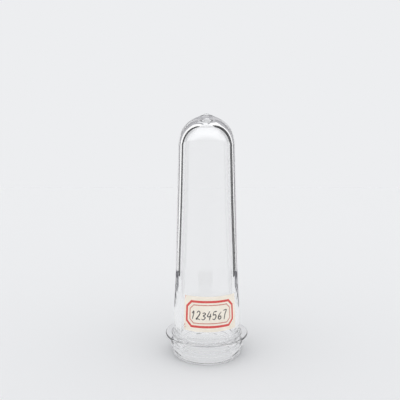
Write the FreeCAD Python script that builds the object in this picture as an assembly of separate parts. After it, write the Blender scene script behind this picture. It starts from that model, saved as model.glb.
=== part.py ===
import FreeCAD, Part
import math
import os

# A clear PET bottle preform with a snap neck, standing on its mouth, with a paper sticker
# round the front of its body. Millimetres. The sealing lip lies in z = 0, +Z runs up the axis
# to the closed dome, and the sticker faces -Y.

# Neck finish, from the lip upwards
neck_bore_radius = 10.7          # straight bore that the core pin and a cap's plug enter
neck_bore_depth = 34.0
sleeve_radius = 13.85            # short sleeve that a snap cap starts on
sleeve_height = 3.0
lip_bevel = 0.5
bead_radius = 14.85              # ring that the cap snaps over
bead_width = 1.95
bead_bevel = 0.25
bead_lead_in = 0.3               # axial length of the slope on the bead's lip side
bead_back_slope = 0.2            # axial length of the slope on the bead's ring side
groove_radius = 13.7             # neck between the bead and the support ring
groove_width = 2.9

# Support ring, which transfer rails and grippers carry
ring_radius = 17.0
ring_thickness = 0.85
ring_edge_bevel = 0.25
ring_body_fillet = 1.3           # fillet between the ring and the body

# Body, from the support ring upwards
shoulder_radius = 13.6           # straight stretch above the ring
shoulder_length = 9.3
waist_radius = 12.9              # where the outside turns into its moulding draft
waist_rise = 13.0                # height of the slope from the straight stretch to the draft
body_blend = 60.0                # round between the stretches of the outside

# Closed end
overall_height = 99.4
dome_radius = 11.75              # the draft runs tangent into this sphere
tip_slope_deg = 24.5             # slope of the cone from the sphere up to the gate
gate_radius = 0.8                # vestige that the injection gate leaves
gate_height = 0.25

# Core: the bore narrows where the wall thickens, then runs in its draft to a round end
core_waist_radius = 9.6
core_waist_height = 62.0
core_dome_radius = 9.1
base_wall = 3.5                  # from the core's end to the top of the outer sphere

# Paper sticker
paper_thickness = 0.1
adhesive_gap = 0.03              # film of glue between the paper and the plastic
sticker_width = 22.6             # along the surface
sticker_height = 13.5
sticker_rise = 4.0               # above the support ring
sticker_turn_deg = 7.2           # the sticker's middle, turned from -Y towards +X

# Heights and angles that follow from the sizes above
bead_low = sleeve_height
bead_high = bead_low + bead_width
ring_low = bead_high + groove_width
ring_high = ring_low + ring_thickness
shoulder_high = ring_high + shoulder_length
waist_high = shoulder_high + waist_rise
tip_slope = math.radians(tip_slope_deg)
gate_low = overall_height - gate_height
cone_rise = dome_radius / math.cos(tip_slope) - gate_radius * math.tan(tip_slope)
dome_centre = gate_low - cone_rise
core_centre = dome_centre + dome_radius - base_wall - core_dome_radius
sticker_low = ring_high + sticker_rise
sticker_high = sticker_low + sticker_height

AXIS = FreeCAD.Vector(0, 0, 1)
ORIGIN = FreeCAD.Vector(0, 0, 0)
FULL_TURN = 360.0
FRONT = -90.0                    # direction of -Y, in degrees about the axis
SHARP, BEVEL, ROUND = "sharp", "bevel", "round"


def at(radius, height):
    return FreeCAD.Vector(radius, 0, height)


def line(start, end):
    return Part.LineSegment(start, end).toShape()


def tangent_point(corner, centre_height, radius):
    # Where the line up from a corner touches a circle centred on the axis
    away = corner - at(0, centre_height)
    angle = math.atan2(away.z, away.x) + math.acos(radius / away.Length)
    return at(radius * math.cos(angle), centre_height + radius * math.sin(angle))


def dome_arc(centre_height, radius, start, end):
    # Arc of a circle centred on the axis, from one of its points to another
    angles = [math.atan2(point.z - centre_height, point.x) for point in (start, end)]
    middle = sum(angles) / 2
    through = at(radius * math.cos(middle), centre_height + radius * math.sin(middle))
    return Part.Arc(start, through, end).toShape()


def chain(start, corners, end):
    # Straight runs from start to end through (point, kind, size) corners, each one sharp,
    # bevelled or rounded. A bevel or a round takes at most half of the shorter run beside it.
    points = [start] + [point for point, kind, size in corners] + [end]
    edges = []
    last = start
    for before, (corner, kind, size), after in zip(points, corners, points[2:]):
        back = before - corner
        ahead = after - corner
        half_angle = back.getAngle(ahead) / 2
        reach = size / math.tan(half_angle) if kind == ROUND else size
        reach = min(reach, back.Length / 2, ahead.Length / 2)
        back.normalize()
        ahead.normalize()
        leaving = corner + back * reach
        joining = corner + ahead * reach
        edges.append(line(last, leaving))
        if kind == BEVEL:
            edges.append(line(leaving, joining))
        if kind == ROUND:
            inward = (back + ahead).normalize()
            to_arc = reach / math.cos(half_angle) - reach * math.tan(half_angle)
            edges.append(Part.Arc(leaving, corner + inward * to_arc, joining).toShape())
        last = joining
    edges.append(line(last, end))
    return edges


def body_outline():
    # The outside of the body, from the support ring up to the dome
    foot = at(shoulder_radius, ring_high)
    shoulder = at(shoulder_radius, shoulder_high)
    waist = at(waist_radius, waist_high)
    return [foot, shoulder, waist, tangent_point(waist, dome_centre, dome_radius)]


def make_preform():
    # Gate vestige and the cone under it, out to the dome's sphere
    gate_top = at(0, overall_height)
    gate = [(at(gate_radius, overall_height), SHARP, 0), (at(gate_radius, gate_low), SHARP, 0)]
    cone_end = at(dome_radius * math.sin(tip_slope), dome_centre + dome_radius * math.cos(tip_slope))
    foot, shoulder, waist, dome_end = body_outline()
    edges = chain(gate_top, gate, cone_end)
    edges.append(dome_arc(dome_centre, dome_radius, cone_end, dome_end))

    # Down the body, round the neck finish and up the bore
    core_waist = at(core_waist_radius, core_waist_height)
    core_end = tangent_point(core_waist, core_centre, core_dome_radius)
    edges += chain(dome_end, [
        (waist, ROUND, body_blend),
        (shoulder, ROUND, body_blend),
        (foot, ROUND, ring_body_fillet),
        (at(ring_radius, ring_high), BEVEL, ring_edge_bevel),
        (at(ring_radius, ring_low), BEVEL, ring_edge_bevel),
        (at(groove_radius, ring_low), SHARP, 0),
        (at(groove_radius, bead_high), SHARP, 0),
        (at(bead_radius, bead_high - bead_back_slope), BEVEL, bead_bevel),
        (at(bead_radius, bead_low + bead_lead_in), BEVEL, bead_bevel),
        (at(sleeve_radius, bead_low), SHARP, 0),
        (at(sleeve_radius, 0), BEVEL, lip_bevel),
        (at(neck_bore_radius, 0), SHARP, 0),
        (at(neck_bore_radius, neck_bore_depth), SHARP, 0),
        (core_waist, SHARP, 0),
    ], core_end)

    # Round the core's end to the axis
    core_top = at(0, core_centre + core_dome_radius)
    edges.append(dome_arc(core_centre, core_dome_radius, core_end, core_top))
    edges.append(line(core_top, gate_top))
    return Part.Face(Part.Wire(edges)).revolve(ORIGIN, AXIS, FULL_TURN)


def moved_out(points, distance):
    # A rising outline further from the axis, with each of its runs kept parallel
    runs = [(end - start).normalize() for start, end in zip(points, points[1:])]
    normals = [at(run.z, -run.x) for run in runs]
    normals = [normals[0]] + normals + [normals[-1]]
    moved = []
    for point, below, above in zip(points, normals, normals[1:]):
        moved.append(point + (below + above) * (distance / (1 + below.dot(above))))
    return moved


def point_at_height(points, height):
    for start, end in zip(points, points[1:]):
        if height <= end.z or end is points[-1]:
            return start + (end - start) * ((height - start.z) / (end.z - start.z))


def body_strip(distance):
    # The body's outside over the sticker's height, moved out by a distance
    points = moved_out(body_outline(), distance)
    between = [(point, SHARP, 0) for point in points if sticker_low < point.z < sticker_high]
    return point_at_height(points, sticker_low), between, point_at_height(points, sticker_high)


def make_sticker():
    inner_foot, inner_corners, inner_head = body_strip(adhesive_gap)
    outer_foot, outer_corners, outer_head = body_strip(adhesive_gap + paper_thickness)
    edges = chain(inner_foot, inner_corners, inner_head)
    edges.append(line(inner_head, outer_head))
    edges += chain(outer_head, outer_corners[::-1], outer_foot)
    edges.append(line(outer_foot, inner_foot))
    section = Part.Face(Part.Wire(edges))
    middle = point_at_height(body_outline(), (sticker_low + sticker_high) / 2)
    wrap = math.degrees(sticker_width / middle.x)
    section.rotate(ORIGIN, AXIS, FRONT + sticker_turn_deg - wrap / 2)
    return section.revolve(ORIGIN, AXIS, wrap)


os.makedirs("parts", exist_ok=True)
for name, shape in (("preform", make_preform()), ("paper_sticker", make_sticker())):
    shape.exportStep("parts/" + name + ".step")
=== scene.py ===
import math

import bpy
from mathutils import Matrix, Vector


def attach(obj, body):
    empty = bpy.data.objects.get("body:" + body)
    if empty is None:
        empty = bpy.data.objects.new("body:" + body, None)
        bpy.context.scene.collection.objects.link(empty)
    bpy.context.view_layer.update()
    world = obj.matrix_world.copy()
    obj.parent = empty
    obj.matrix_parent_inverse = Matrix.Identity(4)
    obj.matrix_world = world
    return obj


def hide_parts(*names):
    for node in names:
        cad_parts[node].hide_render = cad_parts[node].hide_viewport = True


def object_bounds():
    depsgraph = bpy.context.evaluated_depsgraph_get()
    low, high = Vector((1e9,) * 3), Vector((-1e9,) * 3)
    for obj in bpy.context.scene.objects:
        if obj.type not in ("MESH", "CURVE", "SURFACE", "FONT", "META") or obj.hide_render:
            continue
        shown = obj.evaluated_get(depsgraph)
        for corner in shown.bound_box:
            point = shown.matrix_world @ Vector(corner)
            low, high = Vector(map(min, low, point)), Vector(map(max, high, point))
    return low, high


# A clear PET bottle preform that stands on its mouth, with a paper sticker on its front.
# Sizes in the dictionaries are in millimetres and become metres where a mesh is made.

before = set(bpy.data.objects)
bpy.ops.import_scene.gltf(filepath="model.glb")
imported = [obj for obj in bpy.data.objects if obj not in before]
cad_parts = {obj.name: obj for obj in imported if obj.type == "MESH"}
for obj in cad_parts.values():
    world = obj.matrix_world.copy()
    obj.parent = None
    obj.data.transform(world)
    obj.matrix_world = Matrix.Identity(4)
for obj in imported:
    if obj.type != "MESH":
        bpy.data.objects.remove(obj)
cadLow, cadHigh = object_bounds()
print("frame loaded:", ", ".join(sorted(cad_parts)))

mm = 0.001
fullTurn = 2 * math.pi


def linearColour(code):
    # sRGB hex to linear, with full alpha
    values = [int(code[i:i + 2], 16) / 255 for i in (1, 3, 5)]
    return [v / 12.92 if v <= 0.04045 else ((v + 0.055) / 1.055) ** 2.4 for v in values] + [1.0]


def addNode(tree, kind, inputs=None, **settings):
    # A node with its settings; an input takes a value or a link from another node's output
    node = tree.nodes.new(kind)
    for name, value in settings.items():
        setattr(node, name, value)
    for socket, value in (inputs or {}).items():
        if isinstance(value, bpy.types.NodeSocket):
            tree.links.new(value, node.inputs[socket])
        else:
            node.inputs[socket].default_value = value
    return node


def newMaterial(name):
    material = bpy.data.materials.new(name)
    material.use_nodes = True
    material.node_tree.nodes.clear()
    return material, material.node_tree


def addObject(name, vertices, faces, material):
    mesh = bpy.data.meshes.new(name)
    mesh.from_pydata([[value * mm for value in vertex] for vertex in vertices], [], faces)
    mesh.materials.append(material)
    piece = bpy.data.objects.new(name, mesh)
    bpy.context.scene.collection.objects.link(piece)
    return piece


preform = {
    "segments": 256,         # round the axis
    "boreRadius": 10.7,
    "boreDepth": 34.0,
    "sleeveRadius": 13.85,
    "sleeveHeight": 3.0,
    "beadRadius": 14.85,
    "beadHigh": 4.95,
    "grooveRadius": 13.7,
    "ringLow": 7.85,
    "ringHigh": 8.7,
    "shoulderRadius": 13.6,
    "shoulderHigh": 18.0,
    "waistRadius": 12.9,
    "waistHigh": 31.0,
    "domeRadius": 11.75,
    "tipSlope": math.radians(24.5),
    "gateRadius": 0.8,
    "gateHeight": 0.25,
    "coreWaistRadius": 9.6,
    "coreWaistHeight": 62.0,
    "coreDomeRadius": 9.1,
    "baseWall": 3.5,
    "longRun": 2.0,          # the longest face along the profile
    "beadBackSlope": 0.2,    # height of the slope on the bead's ring side
    "beadLeadIn": 0.3,       # and on its lip side
    "gateRound": 0.1,
    "gateFootRound": 0.12,
    "bodyRound": 60.0,
    "ringFillet": 1.3,
    "ringRound": 0.4,
    "grooveRingRound": 0.5,
    "grooveBeadRound": 0.4,
    "beadRound": 0.35,
    "sleeveRound": 0.3,
    "lipOuterRound": 0.7,
    "lipInnerRound": 0.4,
    "coreRound": 150.0,
}


def tangentPoint(corner, centreHeight, radius):
    # Where the line up from a corner touches a circle on the axis
    away = Vector((corner[0], corner[1] - centreHeight))
    angle = math.atan2(away.y, away.x) + math.acos(radius / away.length)
    return Vector((radius * math.cos(angle), centreHeight + radius * math.sin(angle)))


def roundedRun(corners):
    # Points with outward normals along straight runs whose (radius, height, round) corners
    # are true arcs; the ends of the run keep the direction of the line that reaches them
    points = [Vector(corner[:2]) for corner in corners]
    path = []

    def addLine(start, end):
        along = end - start
        if along.length < 1e-6:
            return
        normal = Vector((-along.y, along.x)).normalized()
        steps = max(1, math.ceil(along.length / preform["longRun"]))
        for step in range(steps + 1):
            path.append((start + along * (step / steps), normal))

    last = points[0]
    for i in range(1, len(points) - 1):
        back = (points[i - 1] - points[i]).normalized()
        ahead = (points[i + 1] - points[i]).normalized()
        turn = math.pi - back.angle(ahead)
        reach = corners[i][2] * math.tan(turn / 2)
        leaving = points[i] + back * reach
        addLine(last, leaving)
        side = 1 if back.y * ahead.x - back.x * ahead.y > 0 else -1
        startNormal = Vector((back.y, -back.x))
        steps = max(4, math.ceil(math.degrees(turn) / 9))
        centre = leaving + startNormal * (side * corners[i][2])
        for step in range(1, steps):
            angle = side * turn * step / steps
            turned = Vector((startNormal.x * math.cos(angle) - startNormal.y * math.sin(angle),
                             startNormal.x * math.sin(angle) + startNormal.y * math.cos(angle)))
            path.append((centre - turned * (side * corners[i][2]), turned))
        last = points[i] + ahead * reach
    addLine(last, points[-1])
    return path


def sphereRun(centreHeight, radius, start, end, inside):
    # An arc of a circle on the axis, without its two ends
    startAngle = math.atan2(start[1] - centreHeight, start[0])
    endAngle = math.atan2(end[1] - centreHeight, end[0])
    steps = math.ceil(abs(math.degrees(endAngle - startAngle)) / 2.5)
    run = []
    for step in range(1, steps):
        angle = startAngle + (endAngle - startAngle) * step / steps
        out = Vector((math.cos(angle), math.sin(angle)))
        run.append((Vector((0, centreHeight)) + out * radius, -out if inside else out))
    return run


def preformProfile():
    p = preform
    top = cadHigh.z / mm
    gateLow = top - p["gateHeight"]
    slope, domeRadius = p["tipSlope"], p["domeRadius"]
    domeCentre = gateLow - domeRadius / math.cos(slope) + p["gateRadius"] * math.tan(slope)
    coreCentre = domeCentre + p["domeRadius"] - p["baseWall"] - p["coreDomeRadius"]
    coneEnd = (domeRadius * math.sin(slope), domeCentre + domeRadius * math.cos(slope))
    waist = (p["waistRadius"], p["waistHigh"])
    domeEnd = tangentPoint(waist, domeCentre, p["domeRadius"])
    coreWaist = (p["coreWaistRadius"], p["coreWaistHeight"])
    coreEnd = tangentPoint(coreWaist, coreCentre, p["coreDomeRadius"])
    path = roundedRun([
        (0, top, 0),
        (p["gateRadius"], top, p["gateRound"]),
        (p["gateRadius"], gateLow, p["gateFootRound"]),
        (*coneEnd, 0),
    ])
    path += sphereRun(domeCentre, p["domeRadius"], coneEnd, domeEnd, False)
    path += roundedRun([
        (*domeEnd, 0),
        (*waist, p["bodyRound"]),
        (p["shoulderRadius"], p["shoulderHigh"], p["bodyRound"]),
        (p["shoulderRadius"], p["ringHigh"], p["ringFillet"]),
        (cadHigh.x / mm, p["ringHigh"], p["ringRound"]),
        (cadHigh.x / mm, p["ringLow"], p["ringRound"]),
        (p["grooveRadius"], p["ringLow"], p["grooveRingRound"]),
        (p["grooveRadius"], p["beadHigh"], p["grooveBeadRound"]),
        (p["beadRadius"], p["beadHigh"] - p["beadBackSlope"], p["beadRound"]),
        (p["beadRadius"], p["sleeveHeight"] + p["beadLeadIn"], p["beadRound"]),
        (p["sleeveRadius"], p["sleeveHeight"], p["sleeveRound"]),
        (p["sleeveRadius"], 0, p["lipOuterRound"]),
        (p["boreRadius"], 0, p["lipInnerRound"]),
        (p["boreRadius"], p["boreDepth"], p["coreRound"]),
        (*coreWaist, p["coreRound"]),
        (*coreEnd, 0),
    ])
    coreTop = (0, coreCentre + p["coreDomeRadius"])
    path += sphereRun(coreCentre, p["coreDomeRadius"], coreEnd, coreTop, True)
    path.append((Vector(coreTop), Vector((0, -1))))
    return path


def turned(name, path, material):
    # The profile turned about the axis, with the true normals of its lines and arcs
    count = preform["segments"]
    vertices, normals, rings, faces = [], [], [], []
    for point, normal in path:
        if rings and (point - lastPoint).length < 1e-5:
            continue
        lastPoint = point
        copies = 1 if point.x < 1e-6 else count
        rings.append(list(range(len(vertices), len(vertices) + copies)))
        for k in range(copies):
            c, s = math.cos(fullTurn * k / count), math.sin(fullTurn * k / count)
            vertices.append((point.x * c, point.x * s, point.y))
            normals.append((normal.x * c, normal.x * s, normal.y))
    for upper, lower in zip(rings, rings[1:]):
        for k in range(count):
            n = (k + 1) % count
            if len(upper) == 1:
                faces.append((upper[0], lower[k], lower[n]))
            elif len(lower) == 1:
                faces.append((upper[k], lower[0], upper[n]))
            else:
                faces.append((upper[k], lower[k], lower[n], upper[n]))
    piece = addObject(name, vertices, faces, material)
    piece.data.shade_smooth()
    piece.data.normals_split_custom_set_from_vertices(normals)
    return piece


# Clear PET moulded in polished steel: glass clear and glossy, so its high index draws bright and
# dark lines along the wall, with faint waves from the melt and light scuffs from the bin
clearPet = {
    "tint": "#FDFDFD",
    "scuffed": "#F7F8F8",
    "roughness": 0.0,
    "scuffRoughness": 0.03,
    "ior": 1.575,
    "waveSize": 9.0,         # millimetres
    "waveHeight": 0.01,
    "scuffSize": 1.5,
    "scuffsFrom": 0.62,      # how much of the surface stays clean
}
petMaterial, tree = newMaterial("clearMouldedPet")
where = addNode(tree, "ShaderNodeTexCoord")
waves = addNode(tree, "ShaderNodeTexNoise", {
    "Vector": where.outputs["Object"], "Scale": 1 / (clearPet["waveSize"] * mm), "Detail": 1.0})
bump = addNode(tree, "ShaderNodeBump", {
    "Height": waves.outputs["Fac"], "Strength": 1.0, "Distance": clearPet["waveHeight"] * mm})
scuffs = addNode(tree, "ShaderNodeTexNoise", {
    "Vector": where.outputs["Object"], "Scale": 1 / (clearPet["scuffSize"] * mm), "Detail": 5.0,
    "Roughness": 0.7})
scuffed = addNode(tree, "ShaderNodeMapRange", {
    "Value": scuffs.outputs["Fac"], "From Min": clearPet["scuffsFrom"], "From Max": 0.8})
roughness = addNode(tree, "ShaderNodeMapRange", {
    "Value": scuffed.outputs[0], "To Min": clearPet["roughness"], "To Max": clearPet["scuffRoughness"]})
colour = addNode(tree, "ShaderNodeMix", {
    "Factor": scuffed.outputs[0], 6: linearColour(clearPet["tint"]), 7: linearColour(clearPet["scuffed"])},
    data_type="RGBA")
shader = addNode(tree, "ShaderNodeBsdfPrincipled", {
    "Base Color": colour.outputs[2],
    "Roughness": roughness.outputs[0],
    "IOR": clearPet["ior"],
    "Transmission Weight": 1.0,
    "Normal": bump.outputs[0],
})
addNode(tree, "ShaderNodeOutputMaterial", {"Surface": shader.outputs["BSDF"]})

preformPiece = turned("preformShell", preformProfile(), petMaterial)
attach(preformPiece, "root")
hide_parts("preform")
print("preform turned:", len(preformPiece.data.polygons), "faces")


sticker = {
    "width": 22.6,           # along the surface
    "low": 12.7,
    "high": 26.2,
    "turn": math.radians(7.2),
    "glue": 0.03,
    "paper": 0.1,
    "ink": 0.012,            # printed and written lines stand this far above the paper
    "cell": 0.35,            # size of the paper's mesh cells
    "curl": 0.05,            # how far the paper's edges lift here and there
}
frameLines = {
    "outer": (20.2, 10.4, 2.0, 0.86),    # width, height, cut corner, line width
    "inner": (16.8, 7.3, 1.5, 0.36),
    "centre": (-0.35, -0.05),
}


def bodyRadius(height):
    # The body's outside as the sticker follows it, with the blended shoulder
    p = preform
    slope = (p["shoulderRadius"] - p["waistRadius"]) / (p["waistHigh"] - p["shoulderHigh"])
    return p["shoulderRadius"] - slope * max(0.0, height - p["shoulderHigh"])


def onBody(across, up, lift):
    # A point of the sticker, from its middle and bottom edge, laid round the body
    height = sticker["low"] + up
    middle = bodyRadius((sticker["low"] + sticker["high"]) / 2)
    angle = -math.pi / 2 + sticker["turn"] + across / middle
    radius = bodyRadius(height) + sticker["glue"] + lift
    return (radius * math.cos(angle), radius * math.sin(angle), height)


def paperLift(across, up):
    # Slight waves where the paper doesn't quite lie down, strongest near its edges
    toEdge = min(sticker["width"] / 2 - abs(across), up, sticker["high"] - sticker["low"] - up)
    wave = math.sin(across * 0.9 + 0.7) * math.sin(up * 0.75 + 1.9) + 0.5 * math.sin(across * 1.9 - up * 1.3)
    return sticker["curl"] * max(0.0, wave) * math.exp(-max(0.0, toEdge) / 1.2)


def sheetOnBody(name, material):
    # The paper: a front and a back sheet joined round the edge
    height = sticker["high"] - sticker["low"]
    columns = round(sticker["width"] / sticker["cell"])
    rows = round(height / sticker["cell"])
    vertices, faces = [], []
    for side in (0, 1):
        for r in range(rows + 1):
            for c in range(columns + 1):
                across = sticker["width"] * (c / columns - 0.5)
                up = height * r / rows
                if r in (0, rows):
                    up += 0.04 * math.sin(across * 5.1 + r)
                if c in (0, columns):
                    across += 0.04 * math.sin(up * 6.3 + c)
                lift = paperLift(across, up) + side * sticker["paper"]
                vertices.append(onBody(across, min(max(up, 0.0), height), lift))
    layer = (rows + 1) * (columns + 1)

    def corner(c, r, side):
        return side * layer + r * (columns + 1) + c

    for r in range(rows):
        for c in range(columns):
            square = [corner(c, r, 1), corner(c + 1, r, 1), corner(c + 1, r + 1, 1), corner(c, r + 1, 1)]
            faces.append(square)
            faces.append([i - layer for i in reversed(square)])
    rim = [corner(c, 0, 1) for c in range(columns)] + [corner(columns, r, 1) for r in range(rows)]
    rim += [corner(c, rows, 1) for c in range(columns, 0, -1)] + [corner(0, r, 1) for r in range(rows, 0, -1)]
    for i, j in zip(rim, rim[1:] + rim[:1]):
        faces.append([i, i - layer, j - layer, j])
    piece = addObject(name, vertices, faces, material)
    piece.data.shade_smooth()
    piece.data.set_sharp_from_angle(angle=math.radians(40))
    return piece


def inkLine(points, width, closed, step=0.3):
    # Vertices and faces of a flat ribbon of ink along (across, up) points; a width may differ
    # from point to point, and the ribbon follows the paper
    points = [Vector(point) for point in points]
    widths = list(width) if hasattr(width, "__len__") else [width] * len(points)
    if closed:
        points.append(points[0])
        widths.append(widths[0])
    run = []
    for i in range(len(points) - 1):
        parts = max(1, math.ceil((points[i + 1] - points[i]).length / step))
        for k in range(parts):
            t = k / parts
            run.append((points[i].lerp(points[i + 1], t), widths[i] * (1 - t) + widths[i + 1] * t))
    if not closed:
        run.append((points[-1], widths[-1]))
    vertices, faces = [], []
    count = len(run)
    for i, (point, wide) in enumerate(run):
        before = run[i - 1][0] if i or closed else point
        after = run[(i + 1) % count][0] if i < count - 1 or closed else point
        first, second = point - before, after - point
        first = first.normalized() if first.length > 1e-9 else second.normalized()
        second = second.normalized() if second.length > 1e-9 else first
        along = (first + second).normalized()
        mitre = Vector((-along.y, along.x)) * (wide / 2 / max(0.4, along.dot(first)))
        base = paperLift(*point) + sticker["paper"]
        for lift in (base - 0.01, base + sticker["ink"]):
            for edge in (point + mitre, point - mitre):
                vertices.append(onBody(*edge, lift))
    for i in range(count if closed else count - 1):
        a, b = i * 4, (i + 1) % count * 4
        faces += [[a + 2, a + 3, b + 3, b + 2], [a + 1, a, b, b + 1]]
        faces += [[a, a + 2, b + 2, b], [a + 3, a + 1, b + 1, b + 3]]
    if not closed:
        last = (count - 1) * 4
        faces += [[0, 1, 3, 2], [last + 1, last, last + 2, last + 3]]
    return vertices, faces


def joined(name, parts, material):
    vertices, faces = [], []
    for partVertices, partFaces in parts:
        start = len(vertices)
        vertices += partVertices
        faces += [[i + start for i in face] for face in partFaces]
    piece = addObject(name, vertices, faces, material)
    return piece


def cutCornerFrame(width, height, cut, line):
    x, y = width / 2 - line / 2, height / 2 - line / 2
    middle = Vector(frameLines["centre"]) + Vector((0, (sticker["high"] - sticker["low"]) / 2))
    corners = [(x - cut, -y), (x, -y + cut), (x, y - cut), (x - cut, y)]
    corners += [(-x + cut, y), (-x, y - cut), (-x, -y + cut), (-x + cut, -y)]
    return inkLine([middle + Vector(corner) for corner in corners], line, True)


# Uncoated paper, calendered lightly: matt, warm white, with a soft fibre mottle
paper = {
    "colour": "#FBF4E8",
    "fibre": "#F0E7D6",
    "roughness": 0.85,
    "ior": 1.5,
    "fibreSize": 0.25,       # millimetres
    "mottleSize": 3.0,
}
paperMaterial, tree = newMaterial("uncoatedPaper")
where = addNode(tree, "ShaderNodeTexCoord")
fibre = addNode(tree, "ShaderNodeTexNoise", {
    "Vector": where.outputs["Object"], "Scale": 1 / (paper["fibreSize"] * mm), "Detail": 3.0,
    "Roughness": 0.6})
mottle = addNode(tree, "ShaderNodeTexNoise", {
    "Vector": where.outputs["Object"], "Scale": 1 / (paper["mottleSize"] * mm), "Detail": 2.0})
both = addNode(tree, "ShaderNodeMath", {
    0: fibre.outputs["Fac"], 1: mottle.outputs["Fac"]}, operation="MULTIPLY")
tone = addNode(tree, "ShaderNodeMapRange", {
    "Value": both.outputs[0], "From Min": 0.15, "From Max": 0.4, "To Min": 0.0, "To Max": 0.6})
colour = addNode(tree, "ShaderNodeMix", {
    "Factor": tone.outputs[0], 6: linearColour(paper["colour"]), 7: linearColour(paper["fibre"])},
    data_type="RGBA")
bump = addNode(tree, "ShaderNodeBump", {
    "Height": fibre.outputs["Fac"], "Strength": 0.25, "Distance": 0.02 * mm})
shader = addNode(tree, "ShaderNodeBsdfPrincipled", {
    "Base Color": colour.outputs[2],
    "Roughness": paper["roughness"],
    "IOR": paper["ior"],
    "Normal": bump.outputs[0],
})
addNode(tree, "ShaderNodeOutputMaterial", {"Surface": shader.outputs["BSDF"]})


def inkMaterial(name, strong, worn, grain, roughness):
    # Ink that the paper has drunk in: matt colour that breaks up along the fibres
    material, tree = newMaterial(name)
    where = addNode(tree, "ShaderNodeTexCoord")
    noise = addNode(tree, "ShaderNodeTexNoise", {
        "Vector": where.outputs["Object"], "Scale": 1 / (grain * mm), "Detail": 3.0, "Roughness": 0.65})
    tone = addNode(tree, "ShaderNodeMapRange", {
        "Value": noise.outputs["Fac"], "From Min": 0.42, "From Max": 0.72})
    colour = addNode(tree, "ShaderNodeMix", {
        "Factor": tone.outputs[0], 6: linearColour(strong), 7: linearColour(worn)}, data_type="RGBA")
    bump = addNode(tree, "ShaderNodeBump", {
        "Height": noise.outputs["Fac"], "Strength": 0.2, "Distance": 0.01 * mm})
    shader = addNode(tree, "ShaderNodeBsdfPrincipled", {
        "Base Color": colour.outputs[2], "Roughness": roughness, "IOR": 1.5, "Normal": bump.outputs[0]})
    addNode(tree, "ShaderNodeOutputMaterial", {"Surface": shader.outputs["BSDF"]})
    return material


# Letterpress red, a little thin in places, and black gel pen with dry stretches
redInk = inkMaterial("letterpressRedInk", "#D93A38", "#E8807A", 0.35, 0.6)
fineRedInk = inkMaterial("fineLetterpressRedInk", "#C77468", "#E0B0A4", 0.35, 0.6)
penInk = inkMaterial("blackGelPenInk", "#2B2A2E", "#77757A", 0.5, 0.45)

stickerPiece = sheetOnBody("paperSticker", paperMaterial)
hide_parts("paper_sticker")
printedFrame = joined("printedFrame", [cutCornerFrame(*frameLines["outer"])], redInk)
printedInnerLine = joined("printedInnerLine", [cutCornerFrame(*frameLines["inner"])], fineRedInk)

# Specks of the next label's print, at the left edge where the labels were cut apart
specks = [
    [(-11.1, 12.9), (-10.8, 13.2)],
    [(-11.2, 12.2), (-11.1, 12.4)],
    [(-11.2, 1.9), (-10.8, 2.3)],
    [(-11.1, 1.2), (-10.7, 1.3)],
]
printedSpecks = joined("printedSpecks", [inkLine(speck, 0.3, False) for speck in specks], redInk)

# Plain counting figures written with a pen, as strokes of (across, up) points in units of a
# figure's height
figures = {
    "1": [[(0.05, 0.75), (0.28, 1.0), (0.2, 0.0)]],
    "2": [[(0.02, 0.78), (0.2, 1.0), (0.42, 0.82), (0.3, 0.45), (0.0, 0.04), (0.25, 0.08), (0.52, 0.0)]],
    "3": [[(0.05, 0.9), (0.28, 1.0), (0.42, 0.8), (0.18, 0.56), (0.45, 0.32), (0.25, 0.0), (0.0, 0.12)]],
    "4": [[(0.25, 1.0), (0.02, 0.4), (0.5, 0.42)], [(0.4, 0.72), (0.32, -0.05)]],
    "5": [[(0.1, 0.95), (0.04, 0.58), (0.34, 0.6), (0.42, 0.3), (0.22, 0.0), (0.0, 0.1)],
          [(0.1, 0.95), (0.48, 1.0)]],
    "6": [[(0.38, 1.0), (0.08, 0.55), (0.06, 0.12), (0.28, 0.0), (0.42, 0.22), (0.26, 0.45), (0.06, 0.25)]],
    "7": [[(0.0, 0.92), (0.46, 0.96), (0.28, 0.5), (0.2, -0.1)]],
}
writing = {
    "text": "1234567",
    "height": 3.0,
    "start": (-8.1, 4.7),
    "advance": (2.1, 0.02),
    "slant": 0.12,
    "penWidth": 0.36,
}


def smoothStroke(points):
    # A Catmull-Rom line through the stroke's points
    ends = [points[0]] + points + [points[-1]]
    ends = [Vector(point) for point in ends]
    run = []
    for a, b, c, d in zip(ends, ends[1:], ends[2:], ends[3:]):
        for k in range(6):
            t = k / 6
            bend = 2 * a - 5 * b + 4 * c - d
            swing = 3 * b - 3 * c + d - a
            run.append(0.5 * (2 * b + (c - a) * t + bend * t * t + swing * t ** 3))
    return run + [ends[-1]]


strokes = []
for place, figure in enumerate(writing["text"]):
    origin = Vector(writing["start"]) + Vector(writing["advance"]) * place
    wobble = 0.12 * math.sin(place * 2.3)
    for stroke in figures[figure]:
        laid = [(x + writing["slant"] * y, y * (1 + wobble)) for x, y in stroke]
        run = [origin + point * writing["height"] for point in smoothStroke(laid)]
        swell = [math.sin(math.pi * (i + 0.5) / len(run)) for i in range(len(run))]
        widths = [writing["penWidth"] * (0.75 + 0.35 * value) for value in swell]
        strokes.append(inkLine(run, widths, False, 0.2))
writtenFigures = joined("writtenFigures", strokes, penInk)

for piece in (stickerPiece, printedFrame, printedInnerLine, printedSpecks, writtenFigures):
    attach(piece, "root")
print("sticker laid, printed and written on")

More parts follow.
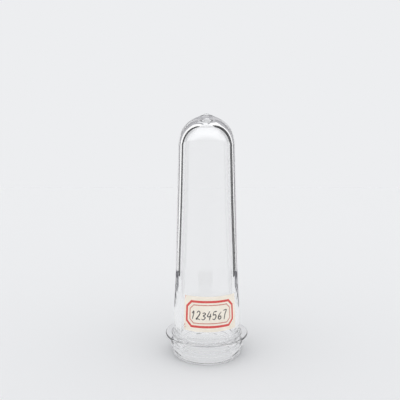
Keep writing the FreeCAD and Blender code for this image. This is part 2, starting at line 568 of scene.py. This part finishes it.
# A plain pale studio. Where a colour is looked at straight it shows as written, while clear
# plastic also gathers panels, dark and bright, that draw its walls.
studio = {
    "backdrop": "#EDEEF0",
    "floor": "#EDEEF0",
    "shadowInPlastic": 0.3,          # share of the floor's shadow that shows through plastic
    "paleUpTo": (0.24, 0.34),        # sine of the elevation where the pale backdrop ends
    "wallInGloss": 0.75,
    "panelBehind": 1.25,             # bright panel above the backdrop, straight behind
    "panelEdge": (0.6, 0.85),
    "softboxInGloss": 1.2,
    "softboxEdge": (0.72, 0.85),
}
scene = bpy.context.scene
scene.view_settings.view_transform = "Standard"
# Light runs round inside the wall many times before it leaves
scene.cycles.max_bounces = 32
scene.cycles.glossy_bounces = 16
scene.cycles.transmission_bounces = 32


def seenInPlastic(tree):
    # The light path, and 1 for what gloss and clear plastic show, 0 for light on things
    path = addNode(tree, "ShaderNodeLightPath")
    either = addNode(tree, "ShaderNodeMath", {0: path.outputs["Is Glossy Ray"],
        1: path.outputs["Is Transmission Ray"]}, operation="MAXIMUM")
    return path, either.outputs[0]


def between(tree, value, edge, low, high):
    # low below the edge's first value, high above its second, smooth between them
    return addNode(tree, "ShaderNodeMapRange", {"Value": value, "From Min": edge[0], "From Max": edge[1],
        "To Min": low, "To Max": high}, interpolation_type="SMOOTHSTEP").outputs[0]


# Matt painted board: a plain pale field that takes a soft shadow
floorMaterial, tree = newMaterial("mattPaintedBoard")
path, inPlastic = seenInPlastic(tree)
board = addNode(tree, "ShaderNodeBsdfDiffuse", {"Color": linearColour(studio["floor"]), "Roughness": 0.5})
glow = addNode(tree, "ShaderNodeEmission", {"Color": linearColour(studio["backdrop"]), "Strength": 1.0})
share = addNode(tree, "ShaderNodeMath", {
    0: inPlastic, 1: 1 - studio["shadowInPlastic"]}, operation="MULTIPLY")
mix = addNode(tree, "ShaderNodeMixShader", {0: share.outputs[0], 1: board.outputs[0], 2: glow.outputs[0]})
addNode(tree, "ShaderNodeOutputMaterial", {"Surface": mix.outputs[0]})
half = 40000    # far enough that the floor meets the backdrop unseen
floor = addObject("floor", [(-half, -half, 0), (half, -half, 0), (half, half, 0), (-half, half, 0)],
                  [(0, 1, 2, 3)], floorMaterial)

world = bpy.data.worlds.new("studioWorld")
scene.world = world
world.use_nodes = True
tree = world.node_tree
tree.nodes.clear()
path, inPlastic = seenInPlastic(tree)
sky = addNode(tree, "ShaderNodeTexCoord")
direction = addNode(tree, "ShaderNodeSeparateXYZ", {0: sky.outputs["Generated"]})
up, behind = direction.outputs["Z"], direction.outputs["Y"]
wallLevel = between(tree, behind, studio["panelEdge"], studio["wallInGloss"], studio["panelBehind"])
lowLevel = between(tree, up, studio["paleUpTo"], 1.0, wallLevel)
level = between(tree, up, studio["softboxEdge"], lowLevel, studio["softboxInGloss"])
shown = addNode(tree, "ShaderNodeMix", {0: path.outputs["Is Camera Ray"], 2: level, 3: 1.0})
backdrop = addNode(tree, "ShaderNodeBackground", {
    "Color": linearColour(studio["backdrop"]), "Strength": shown.outputs[0]})
light = addNode(tree, "ShaderNodeBackground", {"Color": (1, 1, 1, 1), "Strength": 1.0})
seen = addNode(tree, "ShaderNodeMath", {0: inPlastic, 1: path.outputs["Is Camera Ray"]}, operation="MAXIMUM")
mix = addNode(tree, "ShaderNodeMixShader", {0: seen.outputs[0], 1: light.outputs[0], 2: backdrop.outputs[0]})
addNode(tree, "ShaderNodeOutputWorld", {"Surface": mix.outputs[0]})

# Panels that only light reflected inside the wall sees: name, direction from +X in degrees,
# width in degrees, distance, low and high edge, colour, strength
cards = [
    ("darkCardLeft", 135.5, 15, 140, 0, 400, "#101012", 1.0),
    ("darkCardRight", 46, 22, 140, 0, 400, "#101012", 1.0),
    ("brightCardLeft", 120, 16, 140, 0, 400, "#FFFFFF", 1.15),
    ("brightCardRight", 67, 20, 140, 0, 400, "#FFFFFF", 1.15),
    ("greyCardLeft", 106, 8, 140, 0, 400, "#A8A8AC", 1.0),
    ("greyCardRight", 81, 8, 140, 0, 400, "#A8A8AC", 1.0),
    ("greyCardBehind", 90, 50, 88, 0, 155, "#B4B4B8", 1.0),
    ("greyCardLow", 90, 86, 84, 0, 20, "#808086", 1.0),
]
for name, turn, width, far, cardLow, cardHigh, colour, strength in cards:
    material, tree = newMaterial(name)
    path = addNode(tree, "ShaderNodeLightPath")
    after = addNode(tree, "ShaderNodeMath", {
        0: path.outputs["Glossy Depth"], 1: 0.5}, operation="GREATER_THAN")
    clear = addNode(tree, "ShaderNodeBsdfTransparent")
    glow = addNode(tree, "ShaderNodeEmission", {"Color": linearColour(colour), "Strength": strength})
    mix = addNode(tree, "ShaderNodeMixShader", {0: after.outputs[0], 1: clear.outputs[0], 2: glow.outputs[0]})
    addNode(tree, "ShaderNodeOutputMaterial", {"Surface": mix.outputs[0]})
    edges = [math.radians(turn - width / 2), math.radians(turn + width / 2)]
    corners = [(far * math.cos(a), far * math.sin(a), z) for a, z in (
        (edges[0], cardLow), (edges[1], cardLow), (edges[1], cardHigh), (edges[0], cardHigh))]
    card = addObject(name, corners, [(0, 1, 2, 3)], material)
    card.visible_camera = False
    card.visible_diffuse = False
    card.visible_shadow = False

cameraData = bpy.data.cameras.new("camera")
cameraData.sensor_width = 36.0
cameraData.lens = 36.36
cameraData.shift_y = -0.0325
camera = bpy.data.objects.new("camera", cameraData)
camera.location = (-2.763 * mm, -169.14 * mm, 68.58 * mm)
camera.rotation_euler = (math.radians(90), 0, 0)
scene.collection.objects.link(camera)
scene.camera = camera
print("studio ready")
